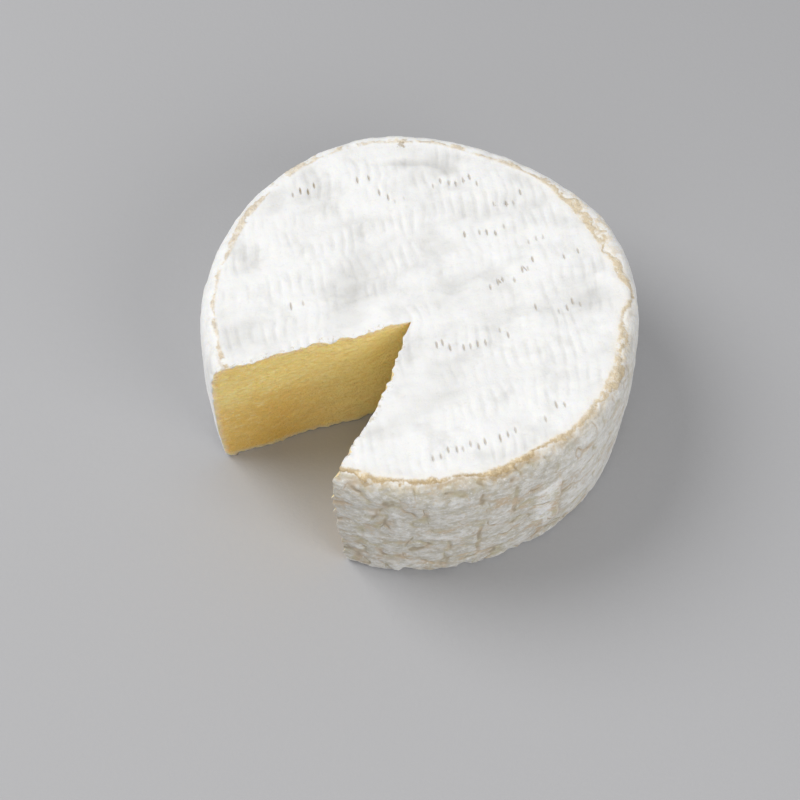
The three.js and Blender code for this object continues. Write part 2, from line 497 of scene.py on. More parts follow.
def side_patterns(g, rest, line):
    """1 round the side, how far into a crack a place is, how high on the cushions of mould and how stained,
    and 1 towards the front, where the side is most worn and where its mould is darkened as painted shade.
    """
    side = g.step(line, 0.6, 2.6)
    x, y = g.part(rest, "X"), g.part(rest, "Y")
    front = g.step(y, 12.0, -26.0) * g.step(x, -50.0, -30.0) * (1.0 - 0.45 * g.step(x, 32.0, 50.0))
    bent = g.warped(rest, 7.0, 1.6, seed=4.0)
    broad = abs(g.swing(bent, (13.5, 13.5, 8.6), seed=2.2, roughness=0.42))
    fine = abs(g.swing(bent, (6.8, 6.8, 5.2), seed=6.1, detail=3.0))
    upright = abs(g.swing(bent, (8.0, 8.0, 22.0), seed=9.0))
    patchy = g.step(g.noise(rest, (11.0, 11.0, 6.0), seed=9.0), 0.42, 0.60)
    other = g.step(g.noise(rest, (9.0, 9.0, 7.0), seed=12.0), 0.46, 0.60)
    broken = g.step(g.noise(rest, (5.0, 5.0, 4.0), seed=2.8), 0.44, 0.60)
    crease = g.step(broad, 0.10, 0.0) * (0.08 + 0.92 * broken)
    crease = g.most(crease, g.step(fine, 0.10, 0.0) * patchy * (0.2 + 0.5 * broken))
    crease = g.most(crease, g.step(upright, 0.07, 0.0) * other * 0.9)
    bend = g.swing(rest, (5.0, 5.0, 6.0), seed=13.0, detail=3.0) * 1.6
    for degrees, low, high in UPRIGHT_CREASES:
        across, within = upright_line(g, rest, degrees, low, high, bend)
        crease = g.most(crease, g.step(abs(across), 1.1, 0.1) * within)
    across, within = upright_line(g, rest, *FOLD, bend, taper=8.0)
    fold = g.step(across, 0.9, -0.7) * g.step(across, -10.0, -1.0) * within
    crease = g.most(crease, g.step(abs(across - 0.4), 1.0, 0.1) * within * 0.95)
    crack = crease * side * (0.15 + 0.85 * front)
    rough = g.noise(bent, (3.0, 3.0, 2.0), seed=21.0, detail=3.0, roughness=0.6)
    cushions = g.step(broad, 0.0, 0.36) * 0.42 + g.step(fine, 0.0, 0.34) * 0.17 + rough * 1.0 - 0.80
    cushions = cushions * (0.45 + 0.55 * front)
    stains = g.noise(bent, (9.0, 9.0, 4.5), detail=5.0, roughness=0.66, seed=55.0)
    stains = stains - g.least(broad, 0.3) * 0.6
    stained = g.step(stains, 0.41, 0.57) * side * front * (0.2 + 0.8 * g.step(line, 4.0, 10.0))
    stained = g.most(stained, g.step(abs(across + 1.6), 2.2, 0.6) * within * side)
    return side, crack, (cushions + fold * 2.3) * side, stained, front


def top_patterns(g, rest, line, rib_pitch, rib_lean):
    """On the top and underneath: how high a place is on its rib, and on the broad swells."""
    top = g.step(line, 0.8, -2.5)
    loose = g.warped(rest, 8.0, 0.9, seed=15.0)
    turned = g.turned(loose, 0.0 - rib_lean)
    rising = g.turned(rest, ROW_TILT)
    climb = g.part(rising, "Y") / ROW_PITCH + g.swing(rest, 18.0, seed=16.0) * 0.5
    row, within = g.maths("FLOOR", climb), g.maths("FRACT", climb)
    jog = g.add("ShaderNodeTexWhiteNoise", (row,), noise_dimensions="1D")
    across = g.part(turned, "X") + g.swing(rest, 15.0, seed=11.0, detail=1.0) * 2.6
    ribs = g.maths("COSINE", (across / rib_pitch + jog * 0.5) * (2.0 * math.pi))
    ribs = ribs * (0.35 + 0.65 * g.step(abs(within - 0.5), 0.5, 0.28))
    ribs = ribs * (0.15 + 0.85 * g.step(g.noise(rest, 11.0, seed=14.0, detail=3.0), 0.40, 0.64))
    smeared = g.most(*(g.near(rest, *place) for place in SMEARS))
    ribs = ribs * (1.0 - smeared * 0.85)
    bands = g.noise(g.warped(rising, 14.0, 3.0, seed=18.0), (26.0, 8.5, 30.0), seed=17.0, detail=3.0)
    swell = bands * 1.4 + g.noise(rest, 21.0, seed=19.0, detail=3.0) * 1.8 - 1.6
    between = g.step(abs(within - 0.5), 0.10, 0.5) * g.step(g.noise(rest, 12.0, seed=16.5), 0.42, 0.62)
    swell = swell - between * 0.20 * g.step(g.part(rest, "X"), -12.0, 12.0)
    radius = g.vector("LENGTH", g.on_plan(rest))
    dents = g.step(abs(radius - BACK_CREASE_RADIUS), 1.8, 0.0) * g.near(rest, *BACK_CREASE) * 0.5
    uneven = g.warped(rest, 11.0, 4.0, seed=29.0)
    for x, y, reach_out, deep in TOP_DENTS:
        dents = dents + g.near(uneven, x, y, reach_out) * deep
    return top, ribs, swell + g.near(rest, *MOUND) * 0.35 - dents


def rind_patterns(g, rest, rim, sizes):
    """All the patterns of the rind; sizes has the relief's settings by name, as fields or as plain values."""
    p = SimpleNamespace()
    p.line, p.crust, p.lip, p.worn, p.grown = rim_patterns(g, rest, rim, sizes["Crust width"])
    p.side, p.crack, p.wrinkle, p.stained, p.front = side_patterns(g, rest, p.line)
    p.top, p.ribs, p.swell = top_patterns(g, rest, p.line, sizes["Rib pitch"], sizes["Rib lean"])
    return p


# ---- Geometry Nodes ----

SOCKETS = {float: "NodeSocketFloat", int: "NodeSocketInt", bpy.types.Object: "NodeSocketObject"}


def relief_tree(name, values, build, material):
    """A node group with a named input for each value; build makes its body and returns the geometry."""
    tree = bpy.data.node_groups.new(name, "GeometryNodeTree")
    tree.interface.new_socket("Geometry", in_out="INPUT", socket_type="NodeSocketGeometry")
    identifiers = {}
    for label, value in values.items():
        socket = tree.interface.new_socket(label, in_out="INPUT", socket_type=SOCKETS[type(value)])
        identifiers[label] = socket.identifier
    tree.interface.new_socket("Geometry", in_out="OUTPUT", socket_type="NodeSocketGeometry")
    g = Graph(tree)
    entry = tree.nodes.new("NodeGroupInput")
    given = {s.name: Field(g, s) for s in entry.outputs if s.name}
    geometry = build(g, given)
    geometry = g.add("GeometryNodeRealizeInstances", (geometry,))
    geometry = g.add("GeometryNodeSetMaterial", {"Geometry": geometry, "Material": material})
    leave = tree.nodes.new("NodeGroupOutput")
    tree.links.new(geometry.socket, leave.inputs[0])
    return tree, identifiers


def named(g, name, data_type="FLOAT"):
    return g.add("GeometryNodeInputNamedAttribute", {"Name": name}, data_type=data_type)


def marks_space(g, position, rib_lean):
    """A position on the plan, turned so that Y runs along the ribs, and drawn in along them."""
    return g.vector("MULTIPLY", g.turned(position, 0.0 - rib_lean), (1.0, MARK_REACH, 0.0))


def nearest_stitch(g, given, rest):
    """The way from the nearest stitch mark to a place, across and along the ribs, and how long that is.

    Lengths along the ribs count for less here, because the marks are long that way.
    """
    rows = g.add("GeometryNodeObjectInfo", {"Object": given["Stitch rows"]}, out=4)
    lines = g.add("GeometryNodeMeshToCurve", (rows,))
    apart = given["Rib pitch"] * 0.68
    spaced = g.add("GeometryNodeResampleCurve", {"Curve": lines, "Length": apart}, mode="LENGTH")
    points = g.add("GeometryNodeCurveToPoints", {"Curve": spaced}, mode="EVALUATED")
    limits = {"Min": (-0.35, -1.9, 0.0), "Max": (0.35, 1.9, 0.0)}
    loose = g.add("FunctionNodeRandomValue", {**limits, "Seed": given["Seed"]}, data_type="FLOAT_VECTOR")
    points = g.add("GeometryNodeSetPosition", {"Geometry": points, "Offset": loose})
    missed = {"Probability": 0.12, "Seed": given["Seed"] + 1.0}
    left_out = g.add("FunctionNodeRandomValue", missed, data_type="BOOLEAN")
    points = g.add("GeometryNodeDeleteGeometry", {"Geometry": points, "Selection": left_out})
    here = marks_space(g, g.add("GeometryNodeInputPosition"), given["Rib lean"])
    points = g.add("GeometryNodeSetPosition", {"Geometry": points, "Position": here})
    there = marks_space(g, rest, given["Rib lean"])
    nearest = g.add("GeometryNodeProximity", (points, 0, there), target_element="POINTS")
    way = g.vector("SUBTRACT", there, nearest)
    return way, g.vector("LENGTH", way)


def stitch_mark(g, way, gap, rest, sizes):
    """How far a place is into a stitch mark, from 0 to 1; no two marks are quite the same."""
    centre = g.vector("SUBTRACT", marks_space(g, rest, sizes["Rib lean"]), way)
    strength = g.noise(centre, 1.3, seed=20.0, detail=0.0)
    along = sizes["Stitch length"] * MARK_REACH * (0.45 + 1.1 * strength)
    half = g.add("ShaderNodeCombineXYZ", (sizes["Stitch width"], along, 1.0))
    uneven = g.swing(rest, 1.1, detail=1.0, seed=22.0) * 0.22
    away = g.vector("LENGTH", g.vector("DIVIDE", way, half)) + uneven
    return g.step(away, 1.35, 0.35) * g.step(gap, 0.52, 0.42) * g.step(strength, 0.14, 0.55)


def raise_rind(g, given):
    """Ribs, marks and swells on the top, the crust round the rim, and wrinkles and cracks round the side."""
    rest = named(g, "rest", "FLOAT_VECTOR")
    p = rind_patterns(g, rest, named(g, "rim"), given)
    way, gap = nearest_stitch(g, given, rest)
    upper = g.step(g.part(rest, "Z"), 15.0, 30.0)
    gap = g.least(gap, NO_MARK) + (1.0 - upper) * NO_MARK
    mark = stitch_mark(g, way, gap, rest, given)

    lumps = g.noise(rest, 3.4, seed=23.0)
    mould_edge = g.step(p.line, 0.5, -0.6) * g.step(p.line, -6.0, -0.8)
    shoulder = g.step(p.line, -0.5, 1.0) * g.step(p.line, 9.0, 3.0)
    foot = g.step(g.part(rest, "Z"), 5.0, 1.0)
    chips = g.step(g.cells(rest, 9.0, seed=8.0), 0.26, 0.12) * 0.6
    for x, y in CHIPS:
        chips = g.most(chips, g.near(rest, x, y, 2.6) * 1.5)
    height = (
        p.top * p.ribs * given["Rib depth"] * 0.5
        + p.top * p.swell * given["Billow"]
        - p.top * mark * given["Stitch depth"]
        + p.top * g.swing(rest, 2.6, detail=3.0, seed=25.0) * 0.06
        + p.crust * given["Crust height"] * (lumps * 2.2 - 0.7)
        + mould_edge * lumps * 0.3 * (0.5 + p.worn)
        + shoulder * g.swing(rest, (3.8, 3.8, 3.0), detail=3.0, seed=28.0) * 0.5
        - p.lip * 0.45
        + p.wrinkle * given["Wrinkle height"]
        - p.crack * given["Crack depth"]
        + p.side * g.swing(rest, 17.0, seed=27.0) * 0.5
        - chips * foot
    )
    standing = g.scaled(named(g, "out", "FLOAT_VECTOR"), height * MM)
    torn = g.swing(rest, 5.5, seed=31.0) + g.swing(rest, 1.7, seed=33.0) * 1.2
    flap = g.near(rest, *FLAP) * upper * 2.6
    fringe = g.scaled(named(g, "fray", "FLOAT_VECTOR"), (torn * given["Fray"] + flap) * MM)
    offset = g.vector("ADD", standing, fringe)
    geometry = g.add("GeometryNodeSetPosition", {"Geometry": given["Geometry"], "Offset": offset})
    for name, value, kind in (("mark", way, "FLOAT_VECTOR"), ("gap", gap, "FLOAT")):
        inputs = {"Geometry": geometry, "Name": name, "Value": value}
        geometry = g.add("GeometryNodeStoreNamedAttribute", inputs, data_type=kind, domain="POINT")
    return geometry


def paste_patterns(g, grain):
    """The knife's drag streaks and its broad waves, each from 0 to 1, and the small pits in its wake."""
    tilted = g.turned(grain, math.radians(14.0), axis="Y")
    bent = g.warped(tilted, 7.0, 1.3, seed=2.0)
    streaks = g.noise(bent, (3.6, 3.6, 1.5), detail=3.0, roughness=0.6, seed=41.0)
    waves = g.noise(tilted, (22.0, 22.0, 6.0), detail=1.0, seed=43.0)
    pits = g.step(g.cells(g.warped(grain, 5.0, 0.9), (5.5, 5.5, 3.4), seed=4.0), 0.20, 0.08)
    pits = pits * g.step(g.noise(grain, 8.0, seed=47.0), 0.5, 0.62)
    return streaks, waves, pits


def raise_paste(g, given):
    """Drag marks and a few small pits on the cut faces; the edges stay where the rind's are."""
    grain = named(g, "grain", "FLOAT_VECTOR")
    depth = named(g, "depth")
    streaks, waves, pits = paste_patterns(g, grain)
    height = (streaks - 0.5) * given["Drag depth"] + (waves - 0.5) * given["Wave depth"]
    height = (height - pits * given["Pit depth"]) * g.step(depth, 0.0, 1.8)
    offset = g.scaled(named(g, "out", "FLOAT_VECTOR"), height * MM)
    return g.add("GeometryNodeSetPosition", {"Geometry": given["Geometry"], "Offset": offset})


# ---- Materials ----


def new_material(name):
    material = bpy.data.materials.new(name)
    material.use_nodes = True
    material.node_tree.nodes.clear()
    return material, Graph(material.node_tree)


def finish_material(g, colour, roughness, bump, bump_distance, **constants):
    """The shader itself: colour, roughness and bump vary, the rest is the same all over."""
    normal = g.add("ShaderNodeBump", {"Strength": 1.0, "Distance": bump_distance, "Height": bump})
    shader = g.tree.nodes.new("ShaderNodeBsdfPrincipled")
    for name, value in (("Base Color", colour), ("Roughness", roughness), ("Normal", normal)):
        g.tree.links.new(value.socket, shader.inputs[name])
    for name, value in constants.items():
        shader.inputs[name.replace("_", " ")].default_value = value
    out = g.tree.nodes.new("ShaderNodeOutputMaterial")
    g.tree.links.new(shader.outputs[0], out.inputs["Surface"])


def attribute(g, name, vector=False):
    out = 1 if vector else 2
    return g.add("ShaderNodeAttribute", out=out, attribute_name=name, attribute_type="GEOMETRY")


def skin_tint(g, rest, p, clouds, specks, skin, colours):
    """The mould's colour on the top and round the side, with the skin showing in stains and cracks, and
    painted shade in its grooves, hollows, creases and on the side's front.
    """
    matted = p.side * p.front
    grain = g.noise(rest, (2.4, 2.4, 1.3), detail=4.0, roughness=0.65, seed=52.0)
    flecks = g.noise(rest, (1.3, 1.3, 0.9), detail=4.0, roughness=0.75, seed=56.0)
    # Painted shade in the rib grooves, the top's valleys and dents, the side's wrinkle hollows and the low
    # spots of the specks' bump; the clouds are the mould's own thin patches.
    thin_and_shaded = (
        p.top * (g.step(p.ribs, 0.1, -1.0) * 0.28 + g.step(p.swell, 0.15, -0.85) * 0.78)
        + g.step(clouds, 0.50, 0.30) * 0.30
        + p.side * g.step(p.wrinkle, 0.10, -0.5) * 0.45
        + g.step(specks, 0.44, 0.25) * 0.20
    )
    # Painted shade on the front of the side, mixed with the matted mould's own yellowish tone.
    dull_and_shaded = matted * (0.55 + g.step(grain, 0.62, 0.36) * 0.45) * (0.25 + 0.75 * g.step(p.wrinkle, 0.6, 0.0))
    # Painted shade: the bottoms of the creases are darkened towards the crack colour.
    crease_bottom_shade = g.step(p.crack, 0.40, 0.95) * g.step(g.noise(rest, 4.0, detail=3.0, seed=57.0), 0.40, 0.58)
    foot = g.step(g.part(rest, "Z") + g.swing(rest, 3.0, detail=3.0, seed=64.0) * 1.2, 2.6, 0.6)
    return g.coats(
        colours.mould,
        (thin_and_shaded, colours.thin_mould_and_shade),
        (dull_and_shaded * 0.9, colours.dull_mould_and_shade),
        (p.stained * (0.35 + 0.60 * g.step(flecks, 0.38, 0.60)), skin),
        (matted * g.step(flecks, 0.53, 0.66) * 0.55, skin),
        (matted * g.step(flecks, 0.46, 0.34) * 0.55, colours.mould),
        (p.crack * (0.60 + 0.45 * clouds), skin),
        (crease_bottom_shade * 0.80, colours.crack),
        (matted * foot * 0.5, colours.mould),
    )


def crust_coats(g, rest, p, clouds, mottle, colours):
    """The bare crust round the rim, with the faint tint beside it and a painted shadow along its lower edge.
    """
    bare = 1.0 - 0.65 * g.step(g.part(rest, "X"), 24.0, 46.0)
    crust = g.coats(
        colours.crust,
        ((g.step(mottle, 0.46, 0.60) * 0.65 + p.grown * 0.4) * bare, colours.dark_crust_and_shadow),
        (g.step(mottle, 0.50, 0.32) * (1.0 - 0.45 * bare), colours.mould),
    )
    return (
        (g.step(p.line, -2.4, 0.3) * g.step(p.line, 5.0, 1.0) * p.worn * 0.15, colours.crust),
        (p.crust * (0.60 + 0.32 * p.worn * bare), crust),
        # Painted shadow along the crust's lower edge and in the groove under it.
        (p.lip * (0.45 + 0.45 * clouds) * bare, colours.dark_crust_and_shadow),
    )


def mark_coats(g, rest, mark, clouds, skin, colours):
    """The mat's marks, the one spot near the rim and the torn flecks along the cuts."""
    strong = g.near(rest, *DARK_MARKS)
    spot = g.step(g.near(rest, *SPOT) + g.swing(rest, 0.8, detail=4.0, seed=58.0) * 0.9, 0.50, 0.95)
    bits = g.noise(rest, (1.5, 1.5, 1.0), detail=4.0, roughness=0.72, seed=65.0)
    return (
        (mark * (0.35 + 0.55 * clouds + 0.35 * strong), colours.stitch),
        (mark * strong * 0.6, colours.crack),
        (spot * 0.85, colours.stitch),
        (g.step(bits, 0.53, 0.64) * g.step(attribute(g, "torn"), 0.45, 1.0) * 0.6, skin),
    )


def rind_material(relief, colours):
    """White mould, greyer where it is thin and where painted shade lies in its grooves and hollows, over a
    tan skin that shows at the rim, in cracks and in marks.
    """
    material, g = new_material("white_mould_rind")
    sizes = in_millimetres(relief)
    rest = attribute(g, "rest", vector=True)
    p = rind_patterns(g, rest, attribute(g, "rim"), sizes)
    mark = stitch_mark(g, attribute(g, "mark", vector=True), attribute(g, "gap"), rest, sizes)
    specks = g.noise(rest, 1.1, detail=3.0, roughness=0.7, seed=51.0)
    clouds = g.noise(rest, 9.0, detail=4.0, roughness=0.6, seed=53.0)
    mottle = g.noise(rest, 2.2, detail=4.0, roughness=0.7, seed=59.0)
    warm = g.step(g.noise(rest, 5.0, detail=3.0, seed=54.0), 0.42, 0.58)
    skin = g.blend(warm, colours.olive_skin, colours.tan_skin)
    tint = g.coats(
        skin_tint(g, rest, p, clouds, specks, skin, colours),
        *crust_coats(g, rest, p, clouds, mottle, colours),
        *mark_coats(g, rest, mark, clouds, skin, colours),
    )
    down = g.noise(rest, 0.45, detail=3.0, roughness=0.7, seed=61.0)
    matting = g.noise(rest, (2.6, 2.6, 1.4), detail=4.0, roughness=0.68, seed=63.0)
    bump = (
        down * 0.04
        + specks * 0.12
        + g.step(mottle, 0.35, 0.7) * 0.22 * p.crust
        + p.side * matting * 0.40
        - mark * 0.20
        - p.crack * 0.15
    )
    finish_material(
        g,
        tint,
        colours.roughness - p.crust * 0.22 - p.crack * 0.12 + (down - 0.5) * 0.08,
        bump,
        MM,
        Subsurface_Weight=0.25,
        Subsurface_Radius=(1.0, 0.85, 0.6),
        Subsurface_Scale=MM,
        Sheen_Weight=0.12,
        Sheen_Roughness=0.6,
        IOR=1.38,
    )
    return material


def paste_material(colours):
    """Ripe yellow paste with the knife's drag marks, paler under the rind and palest where it is cut, with
    painted shade and highlights in its fine grain and painted shade in its pits.
    """
    material, g = new_material("ripe_paste")
    grain, depth = attribute(g, "grain", vector=True), attribute(g, "depth")
    height = g.part(grain, "Z")
    streaks, _, pits = paste_patterns(g, grain)
    clouds = g.noise(grain, (16.0, 16.0, 9.0), detail=3.0, seed=71.0)
    fine = g.noise(grain, (3.2, 3.2, 0.8), detail=4.0, roughness=0.6, seed=73.0)
    grit = g.noise(g.warped(grain, 4.0, 1.0), (1.7, 1.7, 0.9), detail=4.0, roughness=0.7, seed=79.0)
    nicks = g.noise(grain, 0.9, detail=3.0, roughness=0.7, seed=77.0)
    bits = g.noise(grain, (1.1, 1.1, 0.7), detail=3.0, roughness=0.7, seed=81.0)
    low = g.step(height, 30.0, 3.0)
    outer = g.step(abs(g.part(grain, "X")), 8.0, 42.0)
    ragged = depth + g.swing(grain, (0.9, 0.9, 2.0), detail=4.0, roughness=0.65, seed=75.0) * 0.8
    torn = g.step(bits, 0.55, 0.66) * g.step(ragged, 2.2, 0.6) * g.step(ragged, -0.6, 0.2)
    tint = g.coats(
        colours.paste,
        (g.step(streaks, 0.50, 0.74) * 0.55, colours.pale_paste_and_highlight),
        ((g.step(clouds, 0.45, 0.70) * 0.50 + low) * (0.2 + 0.8 * outer), colours.deep_paste),
        ((1.0 - outer) * 0.6, colours.inner_paste),
        # Painted shade: darker where the fine grain's bump is low and in the pits.
        (g.step(fine, 0.52, 0.36) * 0.30 + pits * 0.5, colours.deep_paste),
        # Painted shade and highlights: dark and pale flecks of grit stand in for the light and shade of the
        # cut's fine texture.
        (g.step(grit, 0.50, 0.34) * 0.40, colours.paste_hollow_shade),
        (g.step(grit, 0.52, 0.66) * (0.62 - 0.3 * low), colours.pale_paste_and_highlight),
        (g.step(ragged, 2.0, 0.3) * 0.75, colours.under_rind),
        (g.step(ragged, 0.45, -0.2) * 0.8, colours.cut_rind),
        (torn * (0.25 + 0.75 * g.step(height, 24.0, 36.0)) * 0.65, colours.torn_rind),
    )
    finish_material(
        g,
        tint,
        colours.roughness + (grit - 0.5) * 0.3 + g.step(ragged, 1.5, 0.2) * 0.35,
        streaks * 0.30 + fine * 0.40 - pits * 0.30 + nicks * 0.60,
        MM,
        Subsurface_Weight=0.45,
        Subsurface_Radius=(1.0, 0.65, 0.25),
        Subsurface_Scale=2.5 * MM,
        IOR=1.42,
        Specular_IOR_Level=0.4,
    )
    return material


def floor_material(studio):
    material, g = new_material("plain_floor")
    at = g.add("ShaderNodeTexCoord", out=3)
    clouds = g.add("ShaderNodeTexNoise", {"Vector": at, "Scale": 3.0, "Detail": 2.0})
    lighter = tuple(min(1.0, c * 1.03) for c in studio.floor)
    tint = g.blend(clouds, studio.floor, lighter)
    grit = g.add("ShaderNodeTexNoise", {"Vector": at, "Scale": 900.0, "Detail": 2.0})
    finish_material(g, tint, 0.62 + grit * 0.1, grit, 0.05 * MM)
    return material


# ---- The wheel's smooth shape ----


def smooth(x, low, high):
    t = np.clip((x - low) / (high - low), 0.0, 1.0)
    return t * t * (3.0 - 2.0 * t)


def curve(start, bend, end):
    """Points of a quadratic curve from start to end, drawn towards bend."""
    t = np.linspace(0.0, 1.0, CURVE_POINTS)[:, None]
    start, bend, end = map(np.array, (start, bend, end))
    return (1 - t) ** 2 * start + 2 * t * (1 - t) * bend + t**2 * end


def side_profile(shape):
    """For each row from foot to rim: radius and height, the way out, and the length to the rim."""
    belly, height = shape.belly_radius / MM, shape.height / MM
    wall = belly - shape.wall_lean / MM
    low, high = shape.foot_rise / MM, height - shape.shoulder_drop / MM
    rim, foot = shape.rim_radius / MM, shape.foot_radius / MM
    outline = np.concatenate([
        curve((foot, 0.0), (wall, 0.0), (wall, low)),
        curve((wall, low), (2 * belly - wall, height / 2), (wall, high))[1:],
        curve((wall, high), (wall - 0.8, height), (rim, height))[1:],
    ])
    run = np.concatenate([[0.0], np.cumsum(np.linalg.norm(np.diff(outline, axis=0), axis=1))])
    at = np.linspace(0.0, run[-1], SIDE_ROWS + 1)
    rows = np.stack([np.interp(at, run, outline[:, i]) for i in (0, 1)], axis=1)
    slope = np.gradient(rows, axis=0)
    out = np.stack([slope[:, 1], -slope[:, 0]], axis=1)
    out /= np.linalg.norm(out, axis=1, keepdims=True)
    return rows, out, run[-1] - at


def swelling(direction):
    """How much wider than round the wheel is in a direction, as a factor."""
    out = sum(amount * np.cos(count * (direction - math.radians(at))) for count, amount, at in SWELLINGS)
    return 1.0 + out / BELLY_RADIUS


def reach(phi, radius, point):
    """How far from the cuts' point the outline of this radius is, in the direction phi."""
    c, s = np.cos(phi), np.sin(phi)
    along = np.full_like(phi, radius)
    for _ in range(8):
        x, y = point[0] + along * c, point[1] + along * s
        limit = radius * swelling(np.arctan2(y, x))
        facing = point[0] * c + point[1] * s
        along = -facing + np.sqrt(facing**2 - point @ point + limit**2)
    return along


def columns_at(share, most):
    """How many columns a ring keeps at this share of the way from the cuts' point to the rim."""
    count = COLUMNS
    while count > most or (count > POINT_COLUMNS and share < 0.5 * count / most):
        count //= 2
    return count


class Skin:
    """The rind as an open sheet: rings of points from the cuts' point underneath, out, up and back on top."""

    def __init__(self, shape):
        self.shape = shape
        self.point = np.array(shape.cut_point) / MM
        self.rings, self.places, self.out, self.rim, self.faces = [], [], [], [], []
        self.count = 0
        self.build()

    def put(self, xy, z, out, rim):
        """Adds one ring of points."""
        self.places.append(np.column_stack([xy, z]))
        self.out.append(out)
        self.rim.append(np.broadcast_to(rim, len(xy)).astype(float))
        self.rings.append(np.arange(self.count, self.count + len(xy)))
        self.count += len(xy)

    def directions(self, count):
        return np.linspace(self.shape.right_cut, self.shape.left_cut, count + 1)

    def flat_ring(self, share, count, top):
        """One ring of the top or of the underside."""
        shape = self.shape
        phi = self.directions(count)
        radius = (shape.rim_radius if top else shape.foot_radius) / MM
        far = reach(phi, radius, self.point) * share
        xy = self.point + far[:, None] * np.column_stack([np.cos(phi), np.sin(phi)])
        away = np.hypot(*xy.T)
        rim = away - radius * swelling(np.arctan2(xy[:, 1], xy[:, 0]))
        if top:
            dish = shape.top_dish / MM * (1.0 - smooth(away, 0.0, radius))
            z = shape.height / MM + xy @ np.array(TOP_SLOPE) - dish
        else:
            z, rim = np.zeros(count + 1), self.skirt - rim
        out = np.tile([0.0, 0.0, 1.0 if top else -1.0], (count + 1, 1))
        kept = 1 if share == 0.0 else count + 1
        self.put(xy[:kept], z[:kept], out[:kept], rim[:kept])

    def build(self):
        shape = self.shape
        rows, ways, to_rim = side_profile(shape)
        self.skirt = to_rim[0]
        for j in range(RINGS):
            last = j == RINGS - 1
            count = COLUMNS // 2 if last else columns_at(j / RINGS, COLUMNS // 4)
            self.flat_ring(j / RINGS, count, top=False)
        phi = self.directions(COLUMNS)
        for (radius, z), (outward, upward), rim in zip(rows, ways, to_rim):
            far = reach(phi, radius, self.point)
            xy = self.point + far[:, None] * np.column_stack([np.cos(phi), np.sin(phi)])
            lift = z * MM / shape.height * (xy @ np.array(TOP_SLOPE))
            away = xy / np.hypot(*xy.T)[:, None]
            out = np.column_stack([away * outward, np.full(len(phi), upward)])
            self.put(xy, z + lift, out, rim)
        for j in reversed(range(RINGS)):
            self.flat_ring(j / RINGS, columns_at(j / RINGS, COLUMNS), top=True)
        self.places, self.out, self.rim = map(np.concatenate, (self.places, self.out, self.rim))
        for lower, upper in zip(self.rings, self.rings[1:]):
            self.faces += strip(lower, upper)
        self.lean_cuts()

    def lean_cuts(self):
        """Moves the skin near each cut with the cut's own wander, and marks how far it may fray."""
        shape = self.shape
        away = self.places[:, :2] - self.point
        along = np.hypot(*away.T)
        share = self.places[:, 2] / (shape.height / MM)
        self.fray = np.zeros_like(self.places)
        for cut, sign in ((shape.right_cut, 1.0), (shape.left_cut, -1.0)):
            turned = np.arctan2(away[:, 1], away[:, 0]) - cut
            turned = np.abs((turned + math.pi) % (2 * math.pi) - math.pi)
            off = along * np.sin(np.minimum(turned, math.pi / 2))
            to_gap = np.array([math.sin(cut), -math.cos(cut)]) * sign
            held = smooth(along, 1.0, 7.0)
            wave = np.sin(2 * math.pi * along / CUT_WAVE_LENGTH + sign)
            wander = CUT_WAVE * wave * smooth(along, 0.0, 12.0)
            if sign > 0:
                bow = -CUT_BOW * smooth(along, 4.0, 24.0) * smooth(along, 44.0, 30.0)
                lean = shape.corner_sag / MM * smooth(along, 30.0, 56.0)
                wander = wander + (lean + bow) * smooth(share, 0.0, 1.0)
            self.places[:, :2] += (wander * smooth(off, 14.0, 0.0) * held)[:, None] * to_gap
            self.fray[:, :2] += (smooth(off, 3.5, 0.0) * held)[:, None] * to_gap


def strip(lower, upper):
    """Faces between two neighbouring rings, whose counts are equal or one twice the other."""
    if len(lower) == 1:
        return [(lower[0], upper[k + 1], upper[k]) for k in range(len(upper) - 1)]
    if len(upper) == 1:
        return [(lower[k], lower[k + 1], upper[0]) for k in range(len(lower) - 1)]
    if len(lower) == len(upper):
        return [(lower[k], lower[k + 1], upper[k + 1], upper[k]) for k in range(len(lower) - 1)]
    faces = []
    if len(lower) > len(upper):
        for k in range(len(upper) - 1):
            a, b, c = lower[2 * k : 2 * k + 3]
            faces += [(a, b, upper[k]), (b, upper[k + 1], upper[k]), (b, c, upper[k + 1])]
        return faces
    for k in range(len(lower) - 1):
        a, b, c = upper[2 * k : 2 * k + 3]
        faces += [(lower[k], b, a), (lower[k], lower[k + 1], b), (lower[k + 1], c, b)]
    return faces


# ---- Meshes ----


def plain_mesh(name, places, faces, attributes=None):
    mesh = bpy.data.meshes.new(name)
    mesh.from_pydata(places.tolist(), [], [tuple(int(i) for i in f) for f in faces])
    for key, values in (attributes or {}).items():
        kind = "FLOAT_VECTOR" if values.ndim == 2 else "FLOAT"
        layer = mesh.attributes.new(key, kind, "POINT")
        layer.data.foreach_set("vector" if values.ndim == 2 else "value", values.astype(np.float32).ravel())
    return mesh


def in_scene(name, mesh):
    piece = bpy.data.objects.new(name, mesh)
    bpy.context.scene.collection.objects.link(piece)
    return piece


def read(mesh, key, width):
    """A mesh attribute as an array."""
    layer = mesh.attributes[key]
    values = np.empty(len(layer.data) * width, np.float32)
    layer.data.foreach_get("vector" if width == 3 else "value", values)
    return values.reshape(-1, width) if width == 3 else values


def relieved(name, mesh, build, values, material):
    """Runs the mesh through the relief's node tree and returns the plain mesh that it makes."""
    piece = in_scene(name, mesh)
    tree, identifiers = relief_tree(name, values, build, material)
    modifier = piece.modifiers.new(name, "NODES")
    modifier.node_group = tree
    for label, value in values.items():
        modifier[identifiers[label]] = value
    piece.update_tag()
    graph = bpy.context.evaluated_depsgraph_get()
    raised = piece.evaluated_get(graph)
    made = bpy.data.meshes.new_from_object(raised, preserve_all_data_layers=True, depsgraph=graph)
    bpy.data.objects.remove(piece)
    bpy.data.node_groups.remove(tree)
    return made


